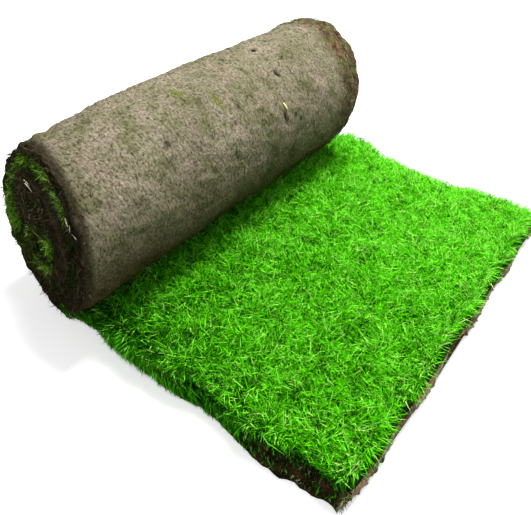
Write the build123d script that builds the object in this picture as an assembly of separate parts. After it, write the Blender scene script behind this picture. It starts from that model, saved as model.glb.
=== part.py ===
from build123d import *
import os
from math import cos, exp, pi

os.makedirs("parts", exist_ok=True)

# Driving dimensions, in millimetres and degrees. X is the way the strip unrolls, Y is the roll's axis.

# The strip
strip_width = 616
soil_thickness = 20
grass_standing = 30      # free grass on the open flap, above the soil
grass_pressed = 23       # the same grass squeezed between two turns
flap_length = 477        # open flap, from the lowest point of the roll's round to the cut end

# The winding
first_radius = 139       # outer soil face of the first quarter turn
pressed_flat = 12        # straight run above and below, where the roll's weight flattens each turn
core_room = 10           # least inside radius that the stiff strip can be bent to
eye_radius = 6           # hole left in the middle of the grass core

# The roll's ends lean and swing the same way, and the core stands out of the near one
near_lean = 8.5
far_lean = 11
end_swing = 6
core_reach = 30

# Knife-cut edges of the flap
edge_wander = 4.5        # how far a cut edge wanders each way from its straight line
wander_length = 145      # from one crest of that wander to the next
root_drift = 24          # both long edges drift this far towards -Y where the strip enters the roll
drift_fade = 22          # distance from the roll over which that drift dies away
far_lobe = 42            # the far edge was cut this much too wide beside the roll
lobe_middle = 62         # where the widest place of that lobe lies
lobe_length = 95         # and how slowly it dies away on both sides

# Worked out from the sizes above
pitch = soil_thickness + grass_pressed
step = pitch / 4         # each quarter turn is this much tighter than the one before
quarter_turns = int((first_radius - soil_thickness - core_room) / step) + 1
half_width = strip_width / 2
flap_top = soil_thickness + grass_standing
roll_middle = (-(step + pressed_flat) / 2, first_radius + step / 2)
trim_size = 4 * first_radius + strip_width


def turn_centre(quarter):
    """Centre, in X and Z, of one quarter turn; four centres serve every turn of the winding."""
    left = (-pressed_flat, first_radius)
    top = (-pressed_flat - step, first_radius)
    right = (-step, first_radius + step)
    foot = (0, first_radius + step)
    return (left, top, right, foot)[quarter % 4]


def winding(depth, quarters):
    """Edges that run round the winding at one depth below the soil's outer face, outermost first."""
    edges = []
    for quarter in range(quarters):
        radius = first_radius - step * quarter - depth
        arc = CenterArc(turn_centre(quarter), radius, 270 - 90 * quarter, -90)
        if edges and (edges[-1] @ 1 - arc @ 0).length > 1e-6:
            edges.append(Line(edges[-1] @ 1, arc @ 0))
        edges.append(arc)
    return edges


def reversed_run(run):
    """The same run of edges taken from its inner end outwards."""
    back = []
    for edge in reversed(run):
        if edge.geom_type == GeomType.LINE:
            back.append(Line(edge @ 1, edge @ 0))
        else:
            back.append(ThreePointArc(edge @ 1, edge @ 0.5, edge @ 0))
    return back


def closed_face(*runs):
    """Face inside several runs of edges, joined end to end by straight lines."""
    edges = []
    for number, run in enumerate(runs):
        following = runs[(number + 1) % len(runs)]
        edges += run
        if (run[-1] @ 1 - following[0] @ 0).length > 1e-6:
            edges.append(Line(run[-1] @ 1, following[0] @ 0))
    return make_face(edges)


def along_axis(face):
    """Solid of an X-Z face drawn out along the roll's axis, past both ends of the roll."""
    return extrude(Plane.XZ * face, amount=strip_width, both=True)


def wander(place, crest):
    """How far a knife-cut edge stands out of its straight line, at one place along it."""
    return edge_wander * cos(2 * pi * (place - crest) / wander_length)


def flap_plan():
    """Plan outline of the open flap: a straight line under the roll and three wandering cuts."""
    root = -pressed_flat
    stations = [root + (flap_length - root) * part / 24 for part in range(25)]
    widths = [-half_width + strip_width * part / 24 for part in range(25)]
    near, far = [], []
    for x in stations:
        drift = root_drift * exp(-max(x, 0) / drift_fade)
        lobe = far_lobe * exp(-((x - lobe_middle) / lobe_length) ** 2)
        near.append((x, -half_width - drift - wander(x, 232)))
        far.append((x, half_width - drift + (lobe + wander(x, 90)) * (1 - drift / root_drift)))
    cut = [(flap_length + wander(y, 37), y) for y in widths]
    cut[0], cut[-1] = near[-1], far[-1]
    return make_face([Spline(near), Spline(cut), Spline(far[::-1]), Line(far[0], near[0])])


def end_form(y, lean, reach, facing):
    """Long round bar about the roll's middle whose end is hollow-sided and stands out by reach."""
    back = -facing * trim_size
    tip = facing * reach
    section = [
        Bezier((0, tip), (first_radius / 2, 0), (first_radius, 0)),
        Polyline((first_radius, 0), (trim_size, 0), (trim_size, back), (0, back), (0, tip)),
    ]
    bar = revolve(make_face(section), Axis.Y, 360)
    return Pos(roll_middle[0], y, roll_middle[1]) * Rot(X=-lean, Z=-end_swing) * bar


# Soil: the flap's flat bed and the band that winds inwards from it
band = closed_face(
    winding(0, quarter_turns),
    reversed_run(winding(soil_thickness, quarter_turns)),
)
bed = Pos(X=-pressed_flat) * Rectangle(
    flap_length + pressed_flat + 4 * edge_wander, soil_thickness, align=(Align.MIN, Align.MIN)
)

# Grass: what fills the roll inside the soil, and the standing sward on the flap
inside = closed_face(winding(soil_thickness, 4), [Line((0, pitch + soil_thickness), (0, soil_thickness))])
core = inside - band - Pos(*turn_centre(quarter_turns - 1)) * Circle(eye_radius)
sward = Pos(Y=soil_thickness) * Rectangle(
    flap_length + 4 * edge_wander, grass_standing, align=(Align.MIN, Align.MIN)
) - band

# Trimmed ends
near_form = end_form(-half_width, near_lean, core_reach, -1)
far_form = end_form(half_width, far_lean, -core_reach, 1)
roll_form = near_form & far_form
flap_form = extrude(flap_plan(), amount=flap_top + 1) + extrude(flap_plan(), amount=-1)

soil_mat = (along_axis(band) & roll_form) + (along_axis(bed) & flap_form)
grass_sward = (along_axis(core) & roll_form) + (along_axis(sward) & flap_form)

# The origin is the middle of the floor under the whole piece
box = Compound([soil_mat, grass_sward]).bounding_box()
home = Pos(-(box.min.X + box.max.X) / 2, -(box.min.Y + box.max.Y) / 2, -box.min.Z)

for name, piece in (("soil_mat", soil_mat), ("grass_sward", grass_sward)):
    export_step(home * piece, f"parts/{name}.step")
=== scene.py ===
"""Dress for a partly unrolled strip of turf: root-bound soil outside, fresh grass inside."""
import logging
import math
from dataclasses import dataclass, replace
from enum import Enum

import bpy
import numpy as np
from mathutils import Matrix, Vector


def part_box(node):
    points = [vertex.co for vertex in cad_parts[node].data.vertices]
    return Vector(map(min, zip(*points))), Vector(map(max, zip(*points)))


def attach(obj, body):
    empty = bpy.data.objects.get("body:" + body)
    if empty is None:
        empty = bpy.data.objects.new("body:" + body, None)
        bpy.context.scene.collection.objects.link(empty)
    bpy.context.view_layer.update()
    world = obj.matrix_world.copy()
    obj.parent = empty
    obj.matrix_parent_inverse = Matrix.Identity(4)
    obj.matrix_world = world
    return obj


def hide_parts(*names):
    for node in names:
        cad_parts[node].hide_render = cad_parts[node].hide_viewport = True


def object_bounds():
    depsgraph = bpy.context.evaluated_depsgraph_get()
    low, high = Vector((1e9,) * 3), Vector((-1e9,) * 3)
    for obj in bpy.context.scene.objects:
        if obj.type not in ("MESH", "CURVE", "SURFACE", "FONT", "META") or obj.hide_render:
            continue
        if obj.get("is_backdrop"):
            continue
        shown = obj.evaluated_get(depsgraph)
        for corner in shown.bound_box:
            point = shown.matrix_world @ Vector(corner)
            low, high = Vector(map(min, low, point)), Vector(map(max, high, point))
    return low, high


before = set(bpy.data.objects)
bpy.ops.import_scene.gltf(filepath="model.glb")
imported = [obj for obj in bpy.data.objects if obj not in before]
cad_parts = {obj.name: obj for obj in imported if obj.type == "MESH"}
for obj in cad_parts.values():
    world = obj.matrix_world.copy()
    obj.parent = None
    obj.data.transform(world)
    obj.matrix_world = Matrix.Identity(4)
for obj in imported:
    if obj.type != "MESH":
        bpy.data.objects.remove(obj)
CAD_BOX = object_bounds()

LOG = logging.getLogger("turf")
BODY = "root"
PICTURE_WIDTH = 531
FLOOR_GAP = 0.0008
MIX_FACTOR, MIX_FIRST, MIX_SECOND, MIX_RESULT = 0, 6, 7, 2


class End(Enum):
    """One of the two ends of the roll, which are the two long edges of the strip."""

    NEAR = -1
    FAR = 1


# Helpers for arrays


def waves(across: np.ndarray, along: np.ndarray, reach: float, seed: int, count: int = 14) -> np.ndarray:
    """Smooth random relief: a sum of sine waves whose directions, lengths and phases are random.

    Each wave is sin(k . p + phase), with k of a random direction and a length of 0.6 to 1.7 times
    reach, and the sum is divided so that it mostly stays between -1 and 1.

    Args:
        across: first coordinate of the places, in metres.
        along: second coordinate, of the same shape or one that broadcasts with it.
        reach: usual distance from one crest to the next, in metres.
        seed: picks the set of waves.
        count: number of waves.

    Returns:
        Relief at each place, about -1 to 1.
    """
    rng = np.random.default_rng(seed)
    turn = rng.uniform(0.0, 2.0 * math.pi, count)
    length = reach * rng.uniform(0.6, 1.7, count)
    phase = rng.uniform(0.0, 2.0 * math.pi, count)
    total = np.zeros(np.broadcast(across, along).shape)
    for angle, size, start in zip(turn, length, phase):
        pace = 2.0 * math.pi / size
        total += np.sin(pace * (math.cos(angle) * across + math.sin(angle) * along) + start)
    return total / math.sqrt(1.6 * count)


def ease(value: np.ndarray, low: float, high: float) -> np.ndarray:
    """Smooth step: 0 below low, 1 above high, and 3t^2 - 2t^3 of the way t between them."""
    way = np.clip((value - low) / (high - low), 0.0, 1.0)
    return way * way * (3.0 - 2.0 * way)


def unit(vectors: np.ndarray) -> np.ndarray:
    """Vectors of the last axis, each divided by its own length."""
    return vectors / np.maximum(np.linalg.norm(vectors, axis=-1, keepdims=True), 1e-9)


def lay_mesh(name: str, points: np.ndarray, corners: np.ndarray, counts: np.ndarray) -> bpy.types.Object:
    """Makes one mesh object at the origin from whole arrays.

    Args:
        name: the piece's name.
        points: n by 3 places in metres.
        corners: vertex number of every face corner, face after face.
        counts: number of corners of each face.

    Returns:
        The new object, linked into the scene.
    """
    mesh = bpy.data.meshes.new(name)
    mesh.vertices.add(len(points))
    mesh.vertices.foreach_set("co", np.ascontiguousarray(points, dtype=np.float32).ravel())
    mesh.loops.add(len(corners))
    mesh.loops.foreach_set("vertex_index", np.ascontiguousarray(corners, dtype=np.int32))
    mesh.polygons.add(len(counts))
    starts = np.concatenate([[0], np.cumsum(counts)[:-1]]).astype(np.int32)
    mesh.polygons.foreach_set("loop_start", starts)
    mesh.polygons.foreach_set("use_smooth", np.ones(len(counts), dtype=bool))
    mesh.update(calc_edges=True)
    mesh.validate()
    piece = bpy.data.objects.new(name, mesh)
    bpy.context.scene.collection.objects.link(piece)
    return piece


def set_colours(piece: bpy.types.Object, name: str, colours: np.ndarray) -> None:
    """Stores one colour for each vertex under a named attribute.

    Args:
        piece: the object whose mesh gets the attribute.
        name: the attribute's name.
        colours: n by 3 linear colours.
    """
    layer = piece.data.attributes.new(name, "FLOAT_COLOR", "POINT")
    full = np.concatenate([colours, np.ones((len(colours), 1))], axis=1)
    layer.data.foreach_set("color", full.astype(np.float32).ravel())


def blend(base: np.ndarray, colour: np.ndarray, share: np.ndarray) -> np.ndarray:
    """Colours moved from base towards another colour, each by its own share of the way."""
    return base + (colour - base) * share[:, None]


def ring_faces(stations: int, ring: int) -> tuple[np.ndarray, np.ndarray]:
    """Faces of a closed tube made of rings of equal length, all facing outwards.

    Two neighbouring rings are joined by quads, and the first and last ring are each filled by one cap.

    Args:
        stations: number of rings.
        ring: number of points in each.

    Returns:
        Corner numbers of every face in turn, and how many corners each face has.
    """
    row, column = np.meshgrid(np.arange(stations - 1), np.arange(ring), indexing="ij")
    following = (column + 1) % ring
    quads = np.stack([
        row * ring + column,
        (row + 1) * ring + column,
        (row + 1) * ring + following,
        row * ring + following,
    ], axis=-1)
    first = np.arange(ring)
    last = stations * ring - 1 - first
    return np.concatenate([quads.ravel(), first, last]), np.append(np.full(quads.size // 4, 4), [ring, ring])


# The strip and its winding


# Each table holds places in metres, and how far an edge stands outside its plain line there in
# millimetres. FAR_TRIM and NEAR_TRIM are how far the tips of the blades may reach past the long
# sides of the flap, and NEAR_CUT is the near side's own cut, all by distance ahead of home_x.
# CUT_TRIM is the cut end, by distance from the middle line. The rims go by distance along the strip.
FAR_TRIM = (
    (0.00, 0.06, 0.10, 0.13, 0.16, 0.18, 0.20, 0.22, 0.24, 0.26, 0.28, 0.30, 0.34, 0.38, 0.40, 0.43, 0.48),
    (18.0, 18.0, 10.0, 2.0, 14.0, 11.0, 2.0, -5.0, -15.0, -9.0, -7.0, 8.0, 1.0, 8.0, 12.0, 22.0, 22.0),
)
NEAR_TRIM = (
    (0.00, 0.03, 0.09, 0.15, 0.18, 0.21, 0.24, 0.27, 0.30, 0.33, 0.36, 0.42, 0.48),
    (3.0, 4.0, 17.0, 26.0, 13.0, 8.0, 0.0, 3.0, 6.0, 15.0, 5.0, 3.0, 8.0),
)
NEAR_CUT = (
    (0.00, 0.02, 0.04, 0.06, 0.10, 0.12, 0.14, 0.17, 0.19,
     0.21, 0.24, 0.26, 0.28, 0.30, 0.34, 0.37, 0.41, 0.44),
    (0.0, 6.0, 8.5, 1.0, 1.0, 5.0, 7.5, 9.0, 6.5,
     2.5, -4.0, -6.5, -2.0, 0.0, 2.5, 0.0, -4.0, 0.0),
)
CUT_TRIM = (
    (-0.31, -0.25, -0.20, -0.15, -0.10, -0.05, 0.00, 0.05, 0.10, 0.15, 0.20, 0.25, 0.31),
    (-7.0, -7.0, -1.5, -2.5, -6.0, -2.0, -6.0, -6.0, -1.0, -7.0, -8.0, -6.0, -7.0),
)
NEAR_RIM = (
    (0.489, 0.542, 0.600, 0.660, 0.690, 0.720, 0.770, 0.800, 0.850, 0.905, 1.000),
    (0.0, -2.0, -3.0, -3.5, -5.0, -6.5, -9.0, -9.0, -6.0, -2.0, 0.0),
)
FAR_RIM = (
    (0.905, 0.937, 0.962, 0.986, 1.011, 1.036, 1.060, 1.085, 1.110, 1.200),
    (0.0, 1.0, -11.0, -10.0, -5.0, -8.0, -2.0, -1.0, -3.0, 0.0),
)


def trim(place: np.ndarray, table: tuple[tuple[float, ...], tuple[float, ...]]) -> np.ndarray:
    """Looks a place up in one of the tables, whose second row is in millimetres."""
    return 0.001 * np.interp(place, *table)


@dataclass(frozen=True)
class Run:
    """One straight run or quarter turn of the winding, measured on the soil's outer face."""

    start: float
    length: float
    centre: tuple[float, float]
    radius: float
    angle: float
    heading: tuple[float, float]


@dataclass(frozen=True)
class Strip:
    """Sizes of the strip, in metres, and the line that it follows from its cut end to the core."""

    # The strip, its winding and the ends of the roll
    half_width: float = 0.308
    soil: float = 0.020
    standing: float = 0.030
    pressed: float = 0.023
    flap: float = 0.477
    first_radius: float = 0.139
    quarters: int = 11
    flat: float = 0.012
    near_lean: float = math.tan(math.radians(8.5))
    far_lean: float = math.tan(math.radians(11.0))
    swing: float = math.tan(math.radians(6.0))
    core_reach: float = 0.030
    near_reach: float = 0.330155
    slip: float = 0.0065
    slip_length: float = 0.083
    outer_turn: float = 1.285
    inner_turn: float = 1.811

    # The cuts of the flap
    wander: float = 0.0045
    wander_length: float = 0.145
    root_drift: float = 0.024
    drift_fade: float = 0.022
    far_lobe: float = 0.042
    lobe_middle: float = 0.062
    lobe_length: float = 0.095
    near_crest: float = 0.232
    far_crest: float = 0.090
    cut_crest: float = 0.037
    drawn_in: float = 0.004
    corner_recess: float = 0.010
    corner_foot: float = 0.006
    root_blend: float = 0.004
    end_face: float = 0.001

    # Wear of the outer turn at its rims, most at one direction in degrees
    worn_way: float = 116.0
    worn_spread: float = 36.0
    near_wear: float = 0.0025
    corner_wear: float = 0.0105
    near_wear_reach: float = 0.026
    corner_wear_reach: float = 0.110
    far_wear: float = 0.0030
    far_wear_reach: float = 0.034

    @property
    def pitch(self) -> float:
        """Distance from one turn to the next."""
        return self.soil + self.pressed

    @property
    def step(self) -> float:
        """How much tighter each quarter turn is than the one before."""
        return self.pitch / 4.0

    @property
    def home_x(self) -> float:
        """Where the line under the roll's axis stands in the frame, from the soil's own box."""
        lowest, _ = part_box("soil_mat")
        return lowest[0] + self.first_radius + self.flat

    @property
    def home_y(self) -> float:
        """Where the strip's middle line stands in the frame, from the soil's own box."""
        lowest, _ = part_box("soil_mat")
        return lowest[1] + self.near_reach

    @property
    def axis(self) -> tuple[float, float]:
        """Mean centre of the turns, in X and Z of the frame."""
        return self.home_x - 0.5 * (self.step + self.flat), self.first_radius + 0.5 * self.step

    def facing(self, x: np.ndarray, z: np.ndarray) -> np.ndarray:
        """Way from the roll's axis to a place, in degrees: 0 towards the flap and 90 up."""
        axis_x, axis_z = self.axis
        return np.degrees(np.arctan2(z - axis_z, x - axis_x))

    def runs(self) -> list[Run]:
        """Lists the straight runs and quarter turns of the strip.

        Returns:
            The runs in order, from the cut end of the flap to the core.
        """
        step, flat, radius = self.step, self.flat, self.first_radius
        centres = ((-flat, radius), (-flat - step, radius), (-step, radius + step), (0.0, radius + step))
        runs = [Run(0.0, self.flap + flat, (self.flap, 0.0), 0.0, 0.0, (-1.0, 0.0))]
        for quarter in range(self.quarters):
            tight = radius - step * quarter
            angle = -0.5 * math.pi * (quarter + 1)
            start = runs[-1].start + runs[-1].length
            runs.append(Run(start, 0.5 * math.pi * tight, centres[quarter % 4], tight, angle, (0.0, 0.0)))
            start += runs[-1].length
            if quarter % 4 == 1:
                top = centres[1][1] + tight
                runs.append(Run(start, flat, (centres[1][0], top), 0.0, 0.0, (1.0, 0.0)))
            elif quarter % 4 == 3:
                foot = centres[3][1] - tight
                runs.append(Run(start, flat, (0.0, foot), 0.0, 0.0, (-1.0, 0.0)))
        return runs

    @property
    def length(self) -> float:
        """Length of the whole strip along its soil face."""
        last = self.runs()[-1]
        return last.start + last.length

    def place(self, along: np.ndarray, depth: np.ndarray) -> tuple[np.ndarray, ...]:
        """Where the strip runs in X and Z.

        On a straight run the place is the run's start plus its heading times the distance. On a
        quarter turn it is the centre plus the radius, less the depth, times (cos a, sin a), where
        the angle a falls by distance over radius.

        Args:
            along: distance from the cut end, on the soil's outer face.
            depth: distance from that face towards the grass.

        Returns:
            X, Z, and the inward direction's X and Z, each of the inputs' shape.
        """
        along, depth = np.broadcast_arrays(along, depth)
        x, z, inward_x, inward_z = (np.zeros(along.shape) for _ in range(4))
        runs = self.runs()
        for number, run in enumerate(runs):
            here = along >= run.start if number else np.ones(along.shape, dtype=bool)
            went = (along - run.start)[here]
            if run.radius:
                angle = run.angle - went / run.radius
                inward_x[here], inward_z[here] = -np.cos(angle), -np.sin(angle)
                x[here] = run.centre[0] - run.radius * inward_x[here]
                z[here] = run.centre[1] - run.radius * inward_z[here]
            else:
                inward_x[here], inward_z[here] = 0.0, -run.heading[0]
                x[here], z[here] = run.centre[0] + run.heading[0] * went, run.centre[1]
        return x + depth * inward_x + self.home_x, z + depth * inward_z, inward_x, inward_z

    def wave(self, place: np.ndarray, crest: float) -> np.ndarray:
        """How far a knife-cut edge stands out of its straight line: a cosine from a given crest."""
        return self.wander * np.cos(2.0 * math.pi * (place - crest) / self.wander_length)

    def side(self, along: np.ndarray, x: np.ndarray, z: np.ndarray, end: End) -> np.ndarray:
        """Y of one long edge of the strip.

        On the flap it is half the width, the drift towards the roll, the cut's wave and, on the
        far side, a bell-shaped lobe. The near side is also drawn in beside the roll and follows
        its own table. In the roll it is a plane that leans and swings, plus a square law of the
        distance from the middle that brings the core out to -Y, a slow sine by which each turn
        slipped against the next, and the rim's table.

        Args:
            along: distance from the cut end, on the soil's outer face.
            x: place in X of the frame.
            z: height above the floor.
            end: which of the two edges.

        Returns:
            Y in the frame, of the inputs' shape.
        """
        sign = float(end.value)
        ahead = x - self.home_x
        drift = self.root_drift * np.exp(-np.maximum(ahead, 0.0) / self.drift_fade)
        if end is End.NEAR:
            beside = self.drawn_in * (1.0 - ease(ahead, 0.045, 0.100))
            open_edge = -self.half_width - drift - self.wave(ahead, self.near_crest) + beside
            open_edge = open_edge - trim(ahead, NEAR_CUT)
        else:
            lobe = self.far_lobe * np.exp(-(((ahead - self.lobe_middle) / self.lobe_length) ** 2))
            cut = (lobe + self.wave(ahead, self.far_crest)) * (1.0 - drift / self.root_drift)
            open_edge = self.half_width - drift + cut
        axis_x, axis_z = self.axis
        out = np.minimum(np.hypot(x - axis_x, z - axis_z) / self.first_radius, 1.0)
        core = -self.core_reach * (1.0 - out) ** 2
        lean = self.near_lean if end is End.NEAR else self.far_lean
        slip = -self.slip * np.sin(along / self.slip_length)
        rolled = sign * self.half_width + lean * (z - axis_z) - self.swing * (x - axis_x) + core + slip
        rolled = rolled + sign * trim(along, NEAR_RIM if end is End.NEAR else FAR_RIM)
        inside = ease(along, self.flap - self.root_blend, self.flap + self.flat + self.root_blend)
        return self.home_y + open_edge * (1.0 - inside) + rolled * inside

    def cut_end(self, y: np.ndarray) -> np.ndarray:
        """How far the flap's cut end stands out past its straight line, at each Y."""
        return self.wave(y - self.home_y, self.cut_crest) + trim(y - self.home_y, CUT_TRIM)

    def recess(self, along: np.ndarray) -> np.ndarray:
        """How far the foot of the grass stands back from the near side, most at the front corner."""
        return self.corner_recess * (1.0 - ease(along, 0.06, 0.20))

    def foot(self, along: np.ndarray) -> np.ndarray:
        """How far the near side's foot stands out, on the half of the flap by the front corner."""
        return self.corner_foot * (1.0 - ease(along, 0.20, 0.30)) * ease(along, 0.0, 0.06)

    def corner(self, turned: np.ndarray) -> np.ndarray:
        """How near a direction is to the roll's upper left, where the near rim is worn most."""
        return np.exp(-(((turned - self.worn_way) / self.worn_spread) ** 2))

    def rim_wear(self, along: np.ndarray, turned: np.ndarray, from_near: np.ndarray,
                 from_far: np.ndarray) -> tuple[np.ndarray, np.ndarray]:
        """How far the outer turn is worn down at its two rims.

        Args:
            along: distance from the cut end.
            turned: way from the roll's axis, in degrees.
            from_near: distance from the near rim.
            from_far: distance from the far rim.

        Returns:
            Wear of the near rim and of the far rim, each fading inwards.
        """
        corner = self.corner(turned)
        shown = ease(turned, -75.0, -30.0) * (1.0 - ease(turned, 165.0, 178.0))
        shown = shown * (along > self.flap) * (along < self.outer_turn)
        reach = self.near_wear_reach + self.corner_wear_reach * corner
        near = (self.near_wear + self.corner_wear * corner) * (1.0 - ease(from_near, 0.0, reach))
        return shown * near, shown * self.far_wear * (1.0 - ease(from_far, 0.0, self.far_wear_reach))

    def under_roll(self, x: np.ndarray) -> np.ndarray:
        """Height of the roll's outer face above the floor, where it comes down on the flap.

        The face is the fourth quarter turn, so its height is that of the turn's centre less the
        root of the radius squared less the distance ahead squared.

        Args:
            x: place in X of the frame.

        Returns:
            The height at each place, and 1 m where nothing is overhead.
        """
        radius = self.first_radius - 3.0 * self.step
        ahead = x - self.home_x
        inside = np.maximum(radius**2 - ahead**2, 0.0)
        height = self.first_radius + self.step - np.sqrt(inside)
        return np.where(ahead < radius, height, 1.0)


# Finishes


def node(tree: bpy.types.NodeTree, kind: str, **values: object) -> bpy.types.Node:
    """Adds one shader node.

    Args:
        tree: the material's nodes.
        kind: the node's type.
        values: its properties, and its inputs by socket name with blanks as _. An input is given
            as a plain value or as the socket that feeds it.

    Returns:
        The new node.
    """
    made = tree.nodes.new(kind)
    for key, value in values.items():
        socket = key.replace("_", " ")
        if hasattr(made, key):
            setattr(made, key, value)
        elif isinstance(value, bpy.types.NodeSocket):
            tree.links.new(value, made.inputs[socket])
        else:
            made.inputs[socket].default_value = value
    return made


def ramp(tree: bpy.types.NodeTree, fac: bpy.types.NodeSocket,
         stops: list[tuple[float, tuple[float, float, float]]]) -> bpy.types.NodeSocket:
    """Colour ramp through the given stops.

    Args:
        tree: the material's nodes.
        fac: what is looked up on the ramp.
        stops: place and colour of each stop, in rising order.

    Returns:
        The ramp's colour socket.
    """
    made = node(tree, "ShaderNodeValToRGB")
    tree.links.new(fac, made.inputs["Fac"])
    elements = made.color_ramp.elements
    while len(elements) < len(stops):
        elements.new(0.5)
    for element, (place, colour) in zip(elements, stops):
        element.position = place
        element.color = (*colour, 1.0)
    return made.outputs["Color"]


def multiply(tree: bpy.types.NodeTree, first: bpy.types.NodeSocket,
             second: bpy.types.NodeSocket) -> bpy.types.NodeSocket:
    """Multiplies two colours.

    Args:
        tree: the material's nodes.
        first: one colour.
        second: the other.

    Returns:
        The socket of the resulting colour.
    """
    made = tree.nodes.new("ShaderNodeMix")
    made.data_type = "RGBA"
    made.blend_type = "MULTIPLY"
    made.inputs[MIX_FACTOR].default_value = 1.0
    tree.links.new(first, made.inputs[MIX_FIRST])
    tree.links.new(second, made.inputs[MIX_SECOND])
    return made.outputs[MIX_RESULT]


def blank(name: str) -> tuple[bpy.types.Material, bpy.types.NodeTree, bpy.types.Node]:
    """Makes a material with one Principled BSDF.

    Args:
        name: the material's name.

    Returns:
        The material, its tree and that shader.
    """
    material = bpy.data.materials.new(name)
    material.use_nodes = True
    tree = material.node_tree
    return material, tree, tree.nodes["Principled BSDF"]


@dataclass(frozen=True)
class SoilFinish:
    """Root-bound soil: a felt of roots with fine dark specks, tinted by the piece's own attribute."""

    name: str = "root_bound_soil"
    roughness: float = 0.95

    def build(self) -> bpy.types.Material:
        """Makes the material.

        Returns:
            The finished material.
        """
        material, tree, shader = blank(self.name)
        place = node(tree, "ShaderNodeTexCoord").outputs["Object"]
        tint = node(tree, "ShaderNodeAttribute", attribute_name="Tint").outputs["Color"]
        flow = node(tree, "ShaderNodeUVMap", uv_map="Strip").outputs["UV"]
        stretched = node(tree, "ShaderNodeMapping", Vector=flow, Scale=(90.0, 420.0, 1.0)).outputs["Vector"]
        roots = node(tree, "ShaderNodeTexNoise", Vector=stretched, Scale=1.0, Detail=5.0, Roughness=0.65)
        grit = node(tree, "ShaderNodeTexNoise", Vector=place, Scale=270.0, Detail=4.0, Roughness=0.7)
        blotch = node(tree, "ShaderNodeTexNoise", Vector=place, Scale=26.0, Detail=6.0, Roughness=0.66)
        grain = ramp(tree, grit.outputs["Fac"], [
            (0.33, (0.24, 0.21, 0.17)), (0.45, (0.78, 0.76, 0.72)),
            (0.54, (1.04, 1.02, 1.00)), (0.68, (1.48, 1.46, 1.38)),
        ])
        felt = ramp(tree, roots.outputs["Fac"], [
            (0.32, (0.40, 0.37, 0.33)), (0.45, (0.90, 0.89, 0.87)),
            (0.60, (1.08, 1.07, 1.06)), (0.74, (1.45, 1.42, 1.36)),
        ])
        patches = ramp(tree, blotch.outputs["Fac"], [
            (0.34, (0.59, 0.62, 0.46)), (0.45, (0.92, 0.93, 0.84)),
            (0.54, (1.05, 0.99, 1.02)), (0.66, (1.28, 1.16, 1.26)),
        ])
        colour = multiply(tree, tint, grain)
        colour = multiply(tree, colour, felt)
        colour = multiply(tree, colour, patches)
        tree.links.new(colour, shader.inputs["Base Color"])
        shader.inputs["Roughness"].default_value = self.roughness
        shader.inputs["Specular IOR Level"].default_value = 0.05
        height = node(tree, "ShaderNodeMath", operation="ADD")
        tree.links.new(grit.outputs["Fac"], height.inputs[0])
        tree.links.new(roots.outputs["Fac"], height.inputs[1])
        bump = node(tree, "ShaderNodeBump", Height=height.outputs[0], Strength=0.7, Distance=0.0016)
        tree.links.new(bump.outputs["Normal"], shader.inputs["Normal"])
        return material


@dataclass(frozen=True)
class BladeFinish:
    """Grass blade or fibre: colour looked up across the map by its tint, and up the map by height, with
    painted shade towards the foot.
    """

    name: str
    palette: tuple[tuple[float, tuple[float, float, float]], ...]
    # foot is the colour that darkens the blade at its root: painted shade at the foot of the grass.
    foot: tuple[float, float, float] = (0.16, 0.20, 0.12)
    roughness: float = 0.55

    def build(self) -> bpy.types.Material:
        """Makes the material.

        Returns:
            The finished material.
        """
        material, tree, shader = blank(self.name)
        spot = node(tree, "ShaderNodeUVMap", uv_map="OFBake").outputs["UV"]
        parts = node(tree, "ShaderNodeSeparateXYZ", Vector=spot)
        colour = ramp(tree, parts.outputs["X"], list(self.palette))
        # Darker towards the foot of each blade: painted shade.
        painted_shade = ramp(tree, parts.outputs["Y"], [
            (0.0, self.foot), (0.45, (0.8, 0.8, 0.8)), (0.9, (1.0, 1.0, 1.0)),
        ])
        colour = multiply(tree, colour, painted_shade)
        tree.links.new(colour, shader.inputs["Base Color"])
        shader.inputs["Roughness"].default_value = self.roughness
        shader.inputs["Specular IOR Level"].default_value = 0.02
        return material


@dataclass(frozen=True)
class ThatchShadeFinish:
    """The mat of stems and dead blades that shows between the standing grass, coloured near black as painted
    shade between the blades.
    """

    name: str = "thatch"

    def build(self) -> bpy.types.Material:
        """Makes the material.

        Returns:
            The finished material.
        """
        material, tree, shader = blank(self.name)
        place = node(tree, "ShaderNodeTexCoord").outputs["Object"]
        stems = node(tree, "ShaderNodeTexNoise", Vector=place, Scale=260.0, Detail=4.0, Roughness=0.7)
        # Near-black greens: painted shade in the gaps between the blades.
        colour = ramp(tree, stems.outputs["Fac"], [
            (0.35, (0.003, 0.008, 0.001)), (0.55, (0.008, 0.035, 0.002)), (0.72, (0.030, 0.080, 0.006)),
        ])
        tree.links.new(colour, shader.inputs["Base Color"])
        shader.inputs["Roughness"].default_value = 0.9
        shader.inputs["Specular IOR Level"].default_value = 0.02
        return material


GRASS = BladeFinish("grass_blade", (
    (0.00, (0.005, 0.045, 0.001)),
    (0.22, (0.034, 0.260, 0.001)),
    (0.45, (0.100, 0.680, 0.002)),
    (0.75, (0.160, 0.970, 0.004)),
    # The pale lime up to this stop colours the blades with tints from 0.80 to 0.92, which are painted
    # highlights.
    (0.90, (0.400, 0.990, 0.110)),
    (0.97, (0.620, 0.780, 0.260)),
))
PRESSED = BladeFinish("pressed_grass", (
    (0.00, (0.005, 0.011, 0.001)),
    (0.22, (0.050, 0.135, 0.006)),
    (0.45, (0.160, 0.420, 0.020)),
    (0.75, (0.330, 0.700, 0.075)),
    (0.90, (0.560, 0.820, 0.260)),
), foot=(0.55, 0.60, 0.45))
FIBRE = BladeFinish("root_fibre", (
    (0.00, (0.016, 0.013, 0.005)),
    (0.25, (0.090, 0.074, 0.034)),
    (0.50, (0.290, 0.262, 0.170)),
    (0.75, (0.500, 0.450, 0.330)),
    (0.86, (0.700, 0.640, 0.480)),
    (0.93, (0.850, 0.640, 0.240)),
    (0.99, (0.100, 0.250, 0.020)),
), foot=(0.8, 0.8, 0.8), roughness=0.8)


# Pieces


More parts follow.
